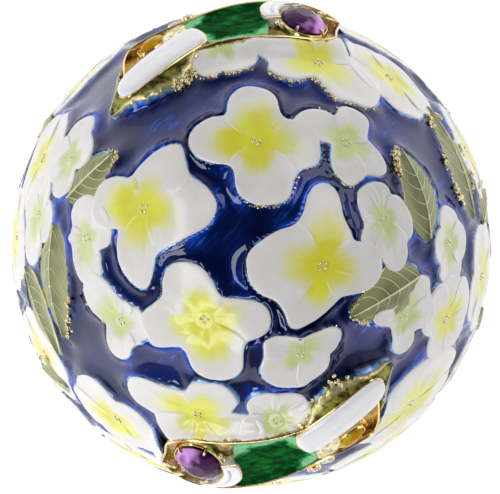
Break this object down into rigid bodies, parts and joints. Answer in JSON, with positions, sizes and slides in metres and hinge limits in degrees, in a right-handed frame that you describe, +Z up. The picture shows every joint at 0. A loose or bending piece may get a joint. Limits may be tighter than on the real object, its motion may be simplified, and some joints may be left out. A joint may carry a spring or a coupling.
{
  "type": "egg trinket box",
  "caption": "Hollow footed egg box in cast, enamelled metal with raised flowers, a lift-off lid and jewelled gilt side mounts.",
  "frame": {"origin": "middle of the foot's flat underside", "axes": "+Z up along the egg's axis to its pointed tip, -Y towards the front jewelled mount"},
  "size_m": [0.0624, 0.0627, 0.0868],
  "materials": {
    "blue_enamel": "glossy translucent cobalt enamel over cast metal, with white and sage enamelled relief",
    "gilt_metal": "polished gilding",
    "amethyst": "faceted purple stone",
    "citrine": "faceted yellow stone",
    "crystal": "small clear cut stone"
  },
  "bodies": {
    "root": {"lid": "blue_enamel", "base": "blue_enamel", "foot": "gilt_metal", "side_mount_front": "gilt_metal", "side_mount_back": "gilt_metal", "amethyst_front": "amethyst", "amethyst_back": "amethyst", "citrine_front": "citrine", "citrine_back": "citrine", "crystal_upper_front": "crystal", "crystal_upper_back": "crystal", "crystal_lower_front": "crystal", "crystal_lower_back": "crystal"}
  },
  "joints": []
}
